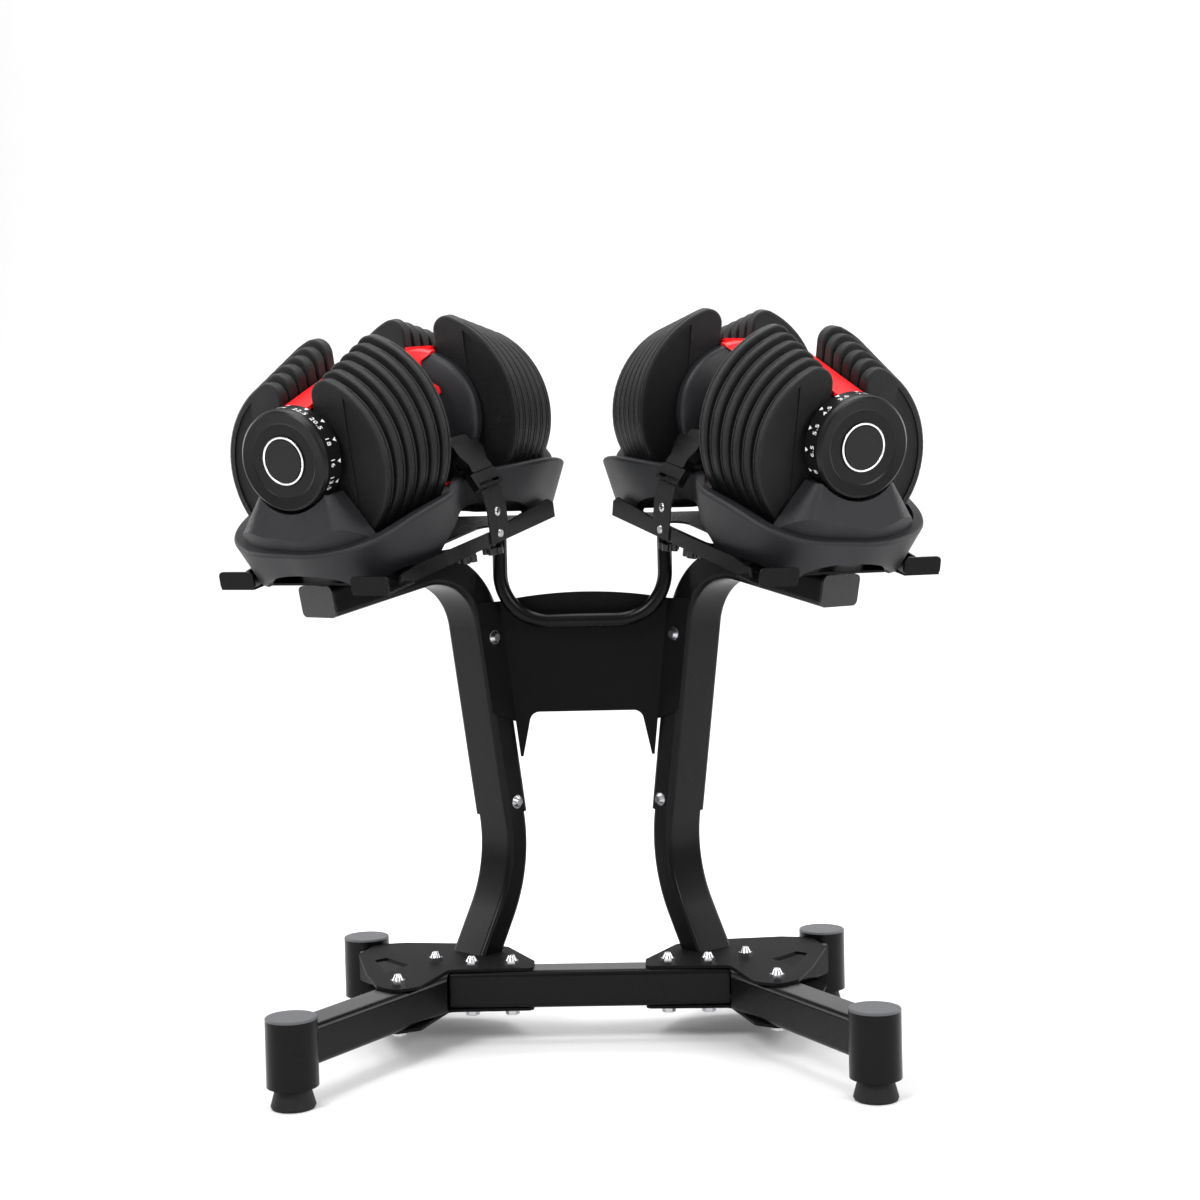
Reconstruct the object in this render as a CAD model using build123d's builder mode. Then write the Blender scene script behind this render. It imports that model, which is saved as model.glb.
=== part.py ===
"""A pair of dial-select adjustable dumbbells, each in its own tray, on a bolted floor stand.

Units are millimetres.  World frame: X to the user's right, Y away from the user, Z up,
origin on the floor under the middle of the stand.  Each dumbbell is drawn in its own
cradle frame (x across, y along the bar towards the far end, z up from the bar's axis) and
is then put on the stand by cradle(side), with side -1 for the left and +1 for the right.
"""
import os
from math import atan2, cos, degrees, hypot, radians, sin, sqrt, tan

from build123d import *

LEFT, RIGHT = -1, 1
SIDES = {"left": LEFT, "right": RIGHT}
ENDS = {"near": -1, "far": 1}

# ---- where each cradle stands -------------------------------------------------------
CRADLE_X = 197.0        # bar middle, sideways from the stand's middle
CRADLE_Y = 37.0         # bar middle, behind the stand's middle
BAR_Z = 666.0           # bar middle, above the floor
TOE_OUT = 27.0          # each bar's near end turns outwards, degrees
TILT = 12.0             # each bar's near end dips towards the user, degrees

MIDDLE_Y = 10.53        # middle of the whole set, in front-to-back drawing coordinates

# ---- dumbbell -----------------------------------------------------------------------
PLATE_COUNT = 6         # plates at each end
PLATE_THICK = 14.5
DISC_GAP = 3.0          # room between plates for a selector disc
PITCH = PLATE_THICK + DISC_GAP
STACK_START = 66.8      # inner face of the innermost plate, from the bar's middle
R_LARGEST = 112.0
R_STEP = 3.0            # each plate outwards is this much smaller
SLOT_HALF = 19.0        # half width of the plate's open slot
EAR_WIDTH = 38.0        # width of the raised band beside the slot
SHAFT_R = 8.0
RUNNING = 0.08          # radial clearance of a turning fit
SLEEVE_R = 12.0
DISC_R = 30.0
DISC_THICK = 2.2
BRIDGE_WIDTH = 34.0
BRIDGE_THICK = 3.6
LEG_INNER = STACK_START + PLATE_COUNT * PITCH - DISC_GAP + 3.0
LEG_THICK = 2.6
DIAL_INNER = LEG_INNER + LEG_THICK + 1.0
DIAL_R = 52.0
DIAL_DEPTH = 30.0
DIAL_FACE = DIAL_INNER + DIAL_DEPTH
BADGE_R = 25.5
HOUSING_R = 70.0
HOUSING_FACE = STACK_START - DISC_GAP - 0.3
GRIP_HALF = 46.0
GRIP_R = 18.5
PLUNGER_R = 4.0
PLUNGER_Y = 55.0

# ---- tray and shelf -----------------------------------------------------------------
TRAY_BASE = -132.0      # underside, below the bar's axis
TRAY_SINK = 6.0         # the deck lies this far below the rim
TRAY_DECK = -65.0       # deck's level near the middle
PLUNGER_POST = -61.6    # top of the posts that push the lock plungers
BAY_R = R_LARGEST + 1.0
SHEET = 2.5
SHELF_TOP = TRAY_BASE
SHELF_HALF = 106.0
SHELF_NEAR_INNER, SHELF_NEAR_OUTER = -218.0, -196.0
SHELF_FAR = 130.0
FLANGE_TOP = SHELF_TOP + 16.0

# ---- strap --------------------------------------------------------------------------
STRAP_Y = 8.0           # middle of the strap along the bar
STRAP_WIDTH = 38.0
STRAP_THICK = 1.6

# ---- stand --------------------------------------------------------------------------
TUBE = 40.0
TUBE_R = 6.0
WALL = 2.0
TUBE_BASE = 39.0        # underside of the base tubes above the floor
TUBE_TOP = TUBE_BASE + TUBE
GUSSET = 3.0
DECK_Z = TUBE_TOP + GUSSET
CROSS_HALF = 149.0
FRONT_POST = (-280.0, -229.0)
REAR_POST = (-259.0, 128.0)
JUNCTION = (-150.0, 0.0)
POST_R = 25.4
POST_BASE, POST_TOP = 21.0, 86.0
FOOT_R, FOOT_NECK_R = 22.0, 17.5
COLUMN_WIDE, COLUMN_DEEP = 54.0, 33.0
COLUMN_FOOT = (-126.5, 71.0)
COLUMN_YAW = 42.0       # each column's plane turns outwards, degrees
SLIDE = 0.2             # the lower column slides into the upper one, clearance each side
BOLT_R = 4.0
BOLT_HOLE_R = 4.3
BASE_BOLTS = [(-84.0, 0.0), (-127.0, 0.0), (-168.0, 21.0), (-196.0, -81.0)]
COLUMN_BOLT_Z = (431.0, 246.0)
SEAM_Z = 232.0          # lower end of the upper column

TOE = radians(TOE_OUT)
YAW = radians(COLUMN_YAW)
TILT_RAD = radians(TILT)
OUTWARD = Vector(-sin(YAW), -cos(YAW), 0)   # along the left arm, towards the user
INBOARD = Vector(cos(YAW), -sin(YAW), 0)    # across the left arm, towards the middle
FOOT = Vector(*COLUMN_FOOT, 0)


def cradle(side):
    """Location of a cradle frame on the stand."""
    turned = Location((side * CRADLE_X, CRADLE_Y, BAR_Z), (0, 0, side * TOE_OUT))
    return turned * Location((0, 0, 0), (TILT, 0, 0))


def write(name, drawn):
    """Writes one node's STEP file about the stand's middle, and prints its size."""
    part = Part() + drawn.moved(Location((0, -MIDDLE_Y, 0)))
    part.label = name
    export_step(part, f"parts/{name}.step")
    print(f"{name:24s} solids {len(part.solids()):2d}  volume {part.volume / 1000:9.2f} cm3")


def in_cradle(part, side):
    """The part, drawn in a cradle frame, put on the stand."""
    with BuildPart() as placed:
        with Locations(cradle(side)):
            add(part)
    return placed.part


def both_ends(part):
    """The part, drawn at the far end, and its twin at the near end."""
    with BuildPart() as pair:
        add(part)
        mirror(part, about=Plane.XZ)
    return pair.part


def both_sides(part):
    """The part, drawn on the left, and its mirror image on the right."""
    with BuildPart() as pair:
        add(part)
        mirror(part, about=Plane.YZ)
    return pair.part


def both_cradles(part):
    """The part, drawn in a cradle frame, put in both cradles."""
    with BuildPart() as pair:
        with Locations(cradle(LEFT), cradle(RIGHT)):
            add(part)
    return pair.part


# =====================================================================================
# Dumbbell, in the cradle frame.  XZ sketches face -y, so a positive extrude goes to -y.
# =====================================================================================
def far_plane(y):
    """Sketch plane across the bar at y, whose x is the cradle's x and whose normal is +y."""
    return Plane(origin=(0, y, 0), x_dir=(-1, 0, 0), z_dir=(0, 1, 0))


def plate_outline(radius, inset=0.0):
    """A disc that stands on the tray floor, with an open slot and two rounded ears."""
    centre = -(R_LARGEST - radius)
    with BuildSketch() as outline:
        with Locations((0, centre)):
            Circle(radius - inset)
        with Locations((0, R_LARGEST)):
            Rectangle(2 * (SLOT_HALF + inset), 2 * R_LARGEST, mode=Mode.SUBTRACT)
        Circle(SLOT_HALF + inset, mode=Mode.SUBTRACT)
        ears = outline.vertices().sort_by(Axis.Y)[-2:]
        fillet(ears, EAR_WIDTH / 2 - 2.5)
    return outline.sketch


def make_plate(index):
    """Far-end plate; index 0 is the smallest, beside the dial."""
    radius = R_LARGEST - R_STEP * (PLATE_COUNT - 1 - index)
    inner = STACK_START + (PLATE_COUNT - 1 - index) * PITCH
    centre = -(R_LARGEST - radius)
    recess, bead = 1.8, 7.0
    with BuildPart() as plate:
        with BuildSketch(far_plane(inner)):
            add(plate_outline(radius))
        extrude(amount=PLATE_THICK)
        fillet(plate.edges().group_by(Axis.Y)[0] + plate.edges().group_by(Axis.Y)[-1], 2.6)
        # a groove round the rim, which makes it read as two moulded skins
        groove = inner + PLATE_THICK * 0.34
        with BuildSketch(far_plane(groove)):
            with Locations((0, centre)):
                Circle(radius + 2)
                Circle(radius - 1.6, mode=Mode.SUBTRACT)
            with Locations((0, centre + radius)):
                Rectangle(2 * (SLOT_HALF + EAR_WIDTH), radius, mode=Mode.SUBTRACT)
        extrude(amount=1.4, mode=Mode.SUBTRACT)
        # both faces are sunk outboard of the ears, inside the rim's bead
        for face_y, direction in ((inner, 1), (inner + PLATE_THICK, -1)):
            with BuildSketch(far_plane(face_y)):
                with Locations((0, centre)):
                    Circle(radius - bead)
                Rectangle(2 * (SLOT_HALF + EAR_WIDTH), 4 * radius, mode=Mode.SUBTRACT)
            extrude(amount=direction * recess, mode=Mode.SUBTRACT)
        # lug that the selector disc's rim hooks under
        with BuildSketch(far_plane(inner + PLATE_THICK)):
            with Locations((0, -(DISC_R + 6))):
                RectangleRounded(14, 7, 2)
        extrude(amount=DISC_GAP - 0.8)
    return plate.part


def make_discs():
    """Far-end selector: a sleeve on the shaft and a disc beside each plate."""
    sleeve_start = HOUSING_FACE + 0.4
    sleeve_end = LEG_INNER - 0.4
    with BuildPart() as discs:
        with BuildSketch(far_plane(sleeve_start)):
            Circle(SLEEVE_R)
            Circle(SHAFT_R + RUNNING, mode=Mode.SUBTRACT)
        extrude(amount=sleeve_end - sleeve_start)
        for place in range(PLATE_COUNT):
            disc_y = STACK_START + place * PITCH + PLATE_THICK + 0.4
            gaps = 3 + place % 3
            with BuildSketch(far_plane(disc_y)):
                Circle(DISC_R)
                with PolarLocations(DISC_R, gaps, start_angle=20 * place):
                    SlotOverall(15, 5, rotation=90, mode=Mode.SUBTRACT)
                Circle(SLEEVE_R, mode=Mode.SUBTRACT)
            extrude(amount=DISC_THICK)
    return discs.part


def make_shaft():
    """The steel bar from dial to dial."""
    reach = DIAL_FACE - 12
    with BuildPart() as shaft:
        with BuildSketch(far_plane(-reach)):
            Circle(SHAFT_R)
        extrude(amount=2 * reach)
        chamfer(shaft.edges(), 0.8)
    return shaft.part


def make_grip():
    """Rubber grip, fuller in the middle, on the shaft between the housings."""
    with BuildPart() as grip:
        with BuildSketch(Plane.XY):
            with BuildLine():
                Polyline((SHAFT_R, -GRIP_HALF), (15.5, -GRIP_HALF))
                Spline((15.5, -GRIP_HALF), (16.2, -30), (GRIP_R, 0), (16.2, 30), (15.5, GRIP_HALF))
                Polyline((15.5, GRIP_HALF), (SHAFT_R, GRIP_HALF), (SHAFT_R, -GRIP_HALF))
            make_face()
        revolve(axis=Axis.Y)
        for ring in range(-4, 5):
            with BuildSketch(far_plane(ring * 8.5 - 0.8)):
                Circle(GRIP_R + 1)
                Circle(15.4 + 2.3 * cos(ring * 0.28) - 0.4, mode=Mode.SUBTRACT)
            extrude(amount=1.6, mode=Mode.SUBTRACT)
    return grip.part


def housing_profile(extra):
    """Half section of the bell-shaped housing, grown outwards by extra."""
    rim = HOUSING_R + extra
    throat = GRIP_HALF - extra
    with BuildSketch(Plane.XY) as profile:
        with BuildLine():
            Line((SHAFT_R, HOUSING_FACE), (rim, HOUSING_FACE))
            Line((rim, HOUSING_FACE), (rim, HOUSING_FACE - 5))
            Spline(
                (rim, HOUSING_FACE - 5),
                (rim - 6, throat + 5.2),
                (rim - 20, throat + 0.9),
                (rim - 34, throat),
                tangents=((0, -1), (-1, 0)),
            )
            Line((rim - 34, throat), (SHAFT_R, throat))
            Line((SHAFT_R, throat), (SHAFT_R, HOUSING_FACE))
        make_face()
    return profile.sketch


def make_housing():
    """Far-end bell housing between the grip and the plates, with the plunger's bore."""
    with BuildPart() as housing:
        add(housing_profile(0))
        revolve(axis=Axis.Y)
        with BuildSketch(Plane((0, PLUNGER_Y, -HOUSING_R - 5))):
            Circle(PLUNGER_R + RUNNING)
        extrude(amount=HOUSING_R + 5 + PLUNGER_POST + 24 + 6, mode=Mode.SUBTRACT)
    return housing.part


def make_plunger():
    """Far-end lock plunger: pushed up by the tray, it frees the dial; lifted, it drops."""
    with BuildPart() as plunger:
        with BuildSketch(Plane((0, PLUNGER_Y, PLUNGER_POST + 0.4))):
            Circle(PLUNGER_R)
        extrude(amount=24)
        fillet(plunger.edges().group_by(Axis.Z)[0], 1.5)
    return plunger.part


def make_bridge():
    """Far-end red frame: a roof over the discs, a leg to the shaft and a screwed mask."""
    low, high = 48.0, 74.5
    half = BRIDGE_WIDTH / 2
    roof_start = HOUSING_FACE - 1.0
    with BuildPart() as bridge:
        # sloping roof
        with BuildSketch(Plane.YZ.offset(-half)):
            Polygon(
                (roof_start, high), (LEG_INNER + LEG_THICK, low),
                (LEG_INNER + LEG_THICK, low - BRIDGE_THICK), (roof_start, high - BRIDGE_THICK),
                align=None,
            )
        extrude(amount=BRIDGE_WIDTH)
        # leg that hangs from the roof and carries the shaft
        with BuildSketch(far_plane(LEG_INNER)):
            Circle(half)
            with Locations((0, (low - 1.5) / 2)):
                Rectangle(BRIDGE_WIDTH, low - 1.5)
            Circle(SHAFT_R, mode=Mode.SUBTRACT)
        extrude(amount=LEG_THICK)
        # T-shaped mask that follows the housing's bell
        with BuildPart(mode=Mode.PRIVATE) as shell:
            add(housing_profile(2.4))
            revolve(axis=Axis.Y)
            add(housing_profile(0), mode=Mode.PRIVATE)
        with BuildPart(mode=Mode.PRIVATE) as core:
            add(housing_profile(0))
            revolve(axis=Axis.Y)
        with BuildSketch(Plane.XZ, mode=Mode.PRIVATE) as mask:
            with BuildLine():
                Polyline(
                    (0, 80), (21, 80), (21, 66), (11, 60), (9.5, 44), (31, 31), (33, 25),
                    (25, 18), (20, 19), (0, 24),
                )
                mirror(about=Plane.YZ)
            make_face()
            fillet(mask.vertices().filter_by_position(Axis.X, 5, 40), 2.2)
            fillet(mask.vertices().filter_by_position(Axis.X, -40, -5), 2.2)
            with Locations((24, 26), (-24, 26)):
                Circle(3.0, mode=Mode.SUBTRACT)
        cover = (shell.part - core.part) & extrude(mask.sketch, amount=-HOUSING_FACE, mode=Mode.PRIVATE)
        add(cover)
    return bridge.part


def make_dial():
    """Far-end dial: a number band, a sloping face ring and a pocket for the badge."""
    pocket = 2.4
    with BuildPart() as dial:
        with BuildSketch(Plane.XY):
            with BuildLine():
                Polyline(
                    (0, DIAL_FACE - 4.0), (BADGE_R + 0.3, DIAL_FACE - 4.0),
                    (BADGE_R + 0.3, DIAL_FACE - pocket), (37, DIAL_FACE - pocket),
                    (38.5, DIAL_FACE - pocket + 0.8), (48.5, DIAL_FACE), (50.5, DIAL_FACE - 1.2),
                    (DIAL_R, DIAL_FACE - 5), (DIAL_R, DIAL_INNER + 3), (DIAL_R - 2, DIAL_INNER),
                    (SHAFT_R + RUNNING, DIAL_INNER), (SHAFT_R + RUNNING, DIAL_FACE - 11.0),
                    (0, DIAL_FACE - 11.0), (0, DIAL_FACE - 4.0),
                )
            make_face()
        revolve(axis=Axis.Y)
        # relief behind the band, which clears the bridge's leg
        with BuildSketch(far_plane(DIAL_INNER)):
            Circle(45)
            Circle(20, mode=Mode.SUBTRACT)
        extrude(amount=17, mode=Mode.SUBTRACT)
    return dial.part


def make_badge():
    """Far-end plain disc in the dial's pocket, with a raised ring."""
    back = DIAL_FACE - 4.0
    with BuildPart() as badge:
        with BuildSketch(far_plane(back)):
            Circle(BADGE_R)
        extrude(amount=2.2)
        with BuildSketch(far_plane(back + 2.2)):
            Circle(BADGE_R - 0.2)
            Circle(BADGE_R - 2.4, mode=Mode.SUBTRACT)
        extrude(amount=0.7)
        with BuildSketch(far_plane(back + 2.2)):
            Circle(BADGE_R - 4.4)
        extrude(amount=0.9)
        fillet(badge.edges().group_by(Axis.Y)[-1], 0.5)
    return badge.part


# =====================================================================================
# Tray, shelf and strap, in the cradle frame
# =====================================================================================
def tray_outline(half_bowl, half_waist, tip):
    """Plan shape of the tray: a long rounded boat, a little fuller over the plates."""
    quarter = [
        (0.50 * half_bowl, 0.972 * tip), (0.86 * half_bowl, 0.855 * tip),
        (1.0 * half_bowl, 0.62 * tip), (0.985 * half_bowl, 0.32 * tip),
    ]
    right = [(x, -y) for x, y in quarter] + [(half_waist, 0)] + quarter[::-1]
    left = [(-x, -y) for x, y in right]
    with BuildSketch() as outline:
        with BuildLine():
            Spline((0, -tip), *right, (0, tip), *left, periodic=True)
        make_face()
    return outline.sketch


def above_rim(drop):
    """Everything above the tray's arched rim line, lowered by drop."""
    half = [(60, -60), (120, -65), (170, -76), (205, -89), (240, -104)]
    with BuildPart() as above:
        with BuildSketch(Plane.YZ):
            with BuildLine():
                points = [(-y, z - drop) for y, z in half[::-1]] + [(0, -59 - drop)]
                points += [(y, z - drop) for y, z in half]
                Spline(*points)
                Polyline(points[-1], (240, 0), (-240, 0), points[0])
            make_face()
        extrude(amount=130, both=True)
    return above.part


def make_tray():
    """Moulded tray: two plate bays, a dial saddle at each end and a middle deck."""
    bay_length = PLATE_COUNT * PITCH + 6.0
    with BuildPart() as tray:
        with BuildSketch(Plane.XY.offset(TRAY_BASE)):
            add(tray_outline(90.5, 72, 202))
        with BuildSketch(Plane.XY.offset(-55)):
            add(tray_outline(116, 82, 234))
        loft(ruled=True)
        add(above_rim(0), mode=Mode.SUBTRACT)
        fillet(tray.faces().sort_by(Axis.Z)[-1].edges(), 3.5)
        # sunk deck inside the rim's bead
        with BuildPart(mode=Mode.PRIVATE) as well:
            with BuildSketch(Plane.XY.offset(TRAY_BASE)):
                add(tray_outline(81, 60, 194))
            with BuildSketch(Plane.XY.offset(-55)):
                add(tray_outline(104, 70, 222))
            loft(ruled=True)
        add(well.part & above_rim(TRAY_SINK), mode=Mode.SUBTRACT)
        # dial saddles: a sloping mound each end, kept inside the rim's bead
        with BuildPart(mode=Mode.PRIVATE) as mounds:
            for end in ENDS.values():
                with BuildSketch(Plane.XY.offset(-110)):
                    with Locations((0, end * 176)):
                        RectangleRounded(196, 96, 40)
                with BuildSketch(Plane.XY.offset(-37)):
                    with Locations((0, end * 184)):
                        RectangleRounded(92, 30, 8)
                loft(ruled=True)
        with BuildPart(mode=Mode.PRIVATE) as inside:
            with BuildSketch(Plane.XY.offset(TRAY_BASE)):
                add(tray_outline(82, 61, 195))
            with BuildSketch(Plane.XY.offset(-30)):
                add(tray_outline(112.5, 74, 231.5))
            loft(ruled=True)
        add(mounds.part & inside.part)
        # saddle that carries the strap under the grip
        with BuildSketch(Plane.XY.offset(-80)):
            RectangleRounded(128, 72, 12)
        with BuildSketch(Plane.XY.offset(-25.6)):
            RectangleRounded(86, 50, 12)
        loft(ruled=True)
        # plate bays, housing hollows and dial hollows
        for end in ENDS.values():
            with BuildSketch(far_plane(end * 56 - 13)):
                Circle(HOUSING_R + 2)
            extrude(amount=26, mode=Mode.SUBTRACT)
            with BuildSketch(far_plane(end * (STACK_START - 3 + bay_length / 2) - bay_length / 2)):
                Circle(BAY_R)
            extrude(amount=bay_length, mode=Mode.SUBTRACT)
            with BuildSketch(far_plane(end * (DIAL_INNER + 30) - 40)):
                Circle(DIAL_R + 2.5)
            extrude(amount=80, mode=Mode.SUBTRACT)
        # hollow underside
        with BuildSketch(Plane.XY.offset(TRAY_BASE)):
            add(tray_outline(84, 64, 196))
        extrude(amount=13, mode=Mode.SUBTRACT)
        with BuildSketch(Plane.XY.offset(TRAY_BASE)):
            RectangleRounded(148, 118, 12)
        extrude(amount=57, mode=Mode.SUBTRACT)
        # arches in the side walls and in the end walls
        with BuildSketch(Plane.YZ):
            with Locations((0, TRAY_BASE)):
                Ellipse(96, 40)
            with Locations((148, TRAY_BASE), (-148, TRAY_BASE)):
                Ellipse(30, 10)
        extrude(amount=130, both=True, mode=Mode.SUBTRACT)
        with BuildSketch(Plane.XZ):
            with Locations((0, TRAY_BASE)):
                Ellipse(52, 15)
        extrude(amount=250, both=True, mode=Mode.SUBTRACT)
        # posts that push the lock plungers up
        with BuildSketch(Plane.XY.offset(-80)):
            with Locations((0, PLUNGER_Y), (0, -PLUNGER_Y)):
                Circle(3.4)
        extrude(amount=PLUNGER_POST + 80)
    return tray.part


def make_tray_badges():
    """Lens-shaped blank badges on the deck, one each side of the middle."""
    with BuildPart() as badges:
        with BuildSketch(Plane.XY.offset(TRAY_DECK)):
            with Locations((64.5, -26), (-64.5, -26)):
                with BuildSketch(mode=Mode.PRIVATE) as lens:
                    with BuildLine():
                        ThreePointArc((0, -18), (4.5, 0), (0, 18))
                        ThreePointArc((0, 18), (-4.5, 0), (0, -18))
                    make_face()
                add(lens.sketch)
        extrude(amount=1.2)
    return badges.part


def make_shelf(inner):
    """Pressed shelf: a flat plate, turned-up sides, two front stops and far corner lips."""
    stops = {inner: SHELF_NEAR_INNER, -inner: SHELF_NEAR_OUTER}
    with BuildPart() as shelf:
        with BuildSketch(Plane.XY.offset(SHELF_TOP - SHEET)) as plan:
            Polygon(
                (-SHELF_HALF, SHELF_FAR), (SHELF_HALF, SHELF_FAR), (SHELF_HALF, -170),
                (70, -178), (-70, -178), (-SHELF_HALF, -170),
                align=None,
            )
            for side, near in stops.items():
                with Locations((side * 91, (near - 170) / 2)):
                    Rectangle(42, -170 - near)
            with Locations((-55, 20), (55, 20)):
                SlotOverall(120, 30, rotation=90, mode=Mode.SUBTRACT)
        extrude(amount=SHEET)
        # side flanges with a wavy top edge
        for side, near in stops.items():
            with BuildSketch(Plane.YZ.offset(side * (SHELF_HALF - SHEET / 2))):
                with BuildLine():
                    Polyline(
                        (near + 30, SHELF_TOP - SHEET), (SHELF_FAR, SHELF_TOP - SHEET),
                        (SHELF_FAR, SHELF_TOP + 14), (SHELF_FAR - 10, SHELF_TOP + 20),
                        (SHELF_FAR - 70, SHELF_TOP + 17), (SHELF_FAR - 120, SHELF_TOP + 12),
                        (near + 70, SHELF_TOP + 13), (near + 36, SHELF_TOP + 9),
                        (near + 30, SHELF_TOP - SHEET),
                    )
                make_face()
            extrude(amount=SHEET / 2, both=True)
        # front stops, turned up
        for side, near in stops.items():
            with BuildSketch(Plane.XZ.offset(-near)):
                with Locations((side * 91, SHELF_TOP - SHEET + 9.5)):
                    RectangleRounded(44, 19, 5)
            extrude(amount=-SHEET)
        # short lips that close the far corners
        with BuildSketch(Plane.XZ.offset(-SHELF_FAR)):
            for side in SIDES.values():
                with Locations((side * (SHELF_HALF - 5), SHELF_TOP - SHEET + 8)):
                    Rectangle(10, 16)
        extrude(amount=SHEET)
        # holes for the strap rivets
        with Locations(Plane.YZ):
            with Locations((STRAP_Y, SHELF_TOP + 7)):
                Hole(2.1, depth=300)
    return shelf.part


def strap_path(points, radii):
    """Strap centre line in the plane across the bar."""
    with BuildLine(Plane.XZ.offset(-STRAP_Y)) as path:
        FilletPolyline(*points, radius=radii)
    return path.line


FLANGE_OUT = SHELF_HALF + STRAP_THICK / 2 + 0.05   # webbing's distance from the shelf's middle
BUCKLE_LOW = (102.0, -74.0)
BUCKLE_HIGH = (74.0, -27.0)


def ribbon(line):
    """Webbing of the strap's width swept along a centre line."""
    start, direction = line @ 0, line % 0
    with BuildPart() as web:
        with BuildSketch(Plane(origin=start, x_dir=(0, 1, 0), z_dir=direction)):
            Rectangle(STRAP_WIDTH, STRAP_THICK)
        sweep(path=line)
    return web.part


def make_strap(inner):
    """Two lengths of webbing; inner is the side, in the cradle frame, with the buckle."""
    lower = strap_path(
        [(inner * FLANGE_OUT, SHELF_TOP - 1), (inner * FLANGE_OUT, -96), (inner * 102.3, -74.9)],
        18,
    )
    upper = strap_path(
        [
            (inner * 73.4, -26.1), (inner * 69.0, -19.6), (inner * 40, -24.5),
            (-inner * 40, -24.5), (-inner * 80, -27), (-inner * FLANGE_OUT, -92),
            (-inner * FLANGE_OUT, SHELF_TOP - 1),
        ],
        [4, 30, 60, 24, 24],
    )
    with BuildPart() as strap:
        add(ribbon(lower))
        add(ribbon(upper))
        with Locations(Plane.YZ):
            with Locations((STRAP_Y, SHELF_TOP + 7)):
                Hole(2.1, depth=300)
    return strap.part


def buckle_plane(inner):
    """Plane on the buckle: x along the bar, y up the strap, z away from the tray."""
    low, high = BUCKLE_LOW, BUCKLE_HIGH
    up = Vector(inner * (high[0] - low[0]), 0, high[1] - low[1]).normalized()
    along = Vector(0, 1, 0)
    return Plane(
        origin=(inner * (low[0] + high[0]) / 2, STRAP_Y, (low[1] + high[1]) / 2),
        x_dir=along, z_dir=along.cross(up),
    )


BUCKLE_SPAN = hypot(BUCKLE_LOW[0] - BUCKLE_HIGH[0], BUCKLE_LOW[1] - BUCKLE_HIGH[1])


def make_buckle_socket(inner):
    """Upper half of the side-release buckle: a hollow body with open sides."""
    half = BUCKLE_SPAN / 2
    with BuildPart() as socket:
        with BuildSketch(buckle_plane(inner)) as body:
            with BuildLine():
                Polyline((0, half), (25, half), (25, half - 13), (18.5, 2), (21, -8), (0, -8))
                mirror(about=Plane.YZ)
            make_face()
            fillet(body.vertices().filter_by_position(Axis.X, 10, 30), 2.5)
            fillet(body.vertices().filter_by_position(Axis.X, -30, -10), 2.5)
        extrude(amount=5.5, both=True)
        with BuildSketch(buckle_plane(inner)):
            with Locations((0, -1)):
                Rectangle(30, 16)
            with Locations((0, half - 4.5)):
                Rectangle(39, 4)
        extrude(amount=3.4, both=True, mode=Mode.SUBTRACT)
    return socket.part


def make_buckle_plug(inner):
    """Lower half of the buckle: a barred frame with two side prongs and a guide."""
    half = BUCKLE_SPAN / 2
    with BuildPart() as plug:
        with BuildSketch(buckle_plane(inner)):
            with Locations((0, (-half - 8.6) / 2)):
                RectangleRounded(50, half - 8.6, 2.5)
            with Locations((0, -half + 5)):
                Rectangle(39, 3.4, mode=Mode.SUBTRACT)
        extrude(amount=4.0, both=True)
        with BuildSketch(buckle_plane(inner)):
            with Locations((0, -3.2)):
                Rectangle(5, 11)
            with Locations((11.5, -2.4), (-11.5, -2.4)):
                Rectangle(4.5, 12.6)
        extrude(amount=2.6, both=True)
    return plug.part


def make_rivets():
    """Rivets through the webbing and the shelf's side flanges."""
    with BuildPart() as rivets:
        for side in SIDES.values():
            with BuildSketch(Plane.YZ.offset(side * (SHELF_HALF - SHEET - 1.4))):
                with Locations((STRAP_Y, SHELF_TOP + 7)):
                    Circle(2.0)
            extrude(amount=side * (SHEET + STRAP_THICK + 2.8))
            head_start = SHELF_HALF + STRAP_THICK + 0.12
            with BuildSketch(Plane.YZ.offset(side * head_start)):
                with Locations((STRAP_Y, SHELF_TOP + 7)):
                    Circle(4.6)
            extrude(amount=side * 1.6, taper=25)
    return rivets.part


def make_shelf_knobs(inner):
    """Two star knobs on studs under the shelf, beside the strap's anchor."""
    with BuildPart() as knobs:
        for place in ((inner * 92, 14), (inner * 82, -24)):
            with BuildSketch(Plane.XY.offset(SHELF_TOP - SHEET)):
                with Locations(place):
                    Circle(3)
            extrude(amount=-16)
            with BuildSketch(Plane.XY.offset(SHELF_TOP - SHEET - 7)):
                with Locations(place):
                    Circle(8)
                    with PolarLocations(8, 5):
                        Circle(4)
            extrude(amount=-7)
    return knobs.part


# =====================================================================================
# Stand: everything is drawn for the left side and mirrored
# =====================================================================================
def column_plane(offset=0):
    """Upright plane of the left column: x along the arm towards the user, y up."""
    return Plane(origin=FOOT + INBOARD * offset, x_dir=OUTWARD, z_dir=OUTWARD.cross(Vector(0, 0, 1)))


ARM_END = 208.0
ARM_DROP = 1.4          # the arm stays this far under the shelf along its middle
LEAN_LOW, LEAN_HIGH = (-39.0, 246.0), (-9.0, 431.0)      # column centre at its two bolts
LEAN = (LEAN_HIGH[0] - LEAN_LOW[0]) / (LEAN_HIGH[1] - LEAN_LOW[1])
KNEE = (-51.0, 172.0)


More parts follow.
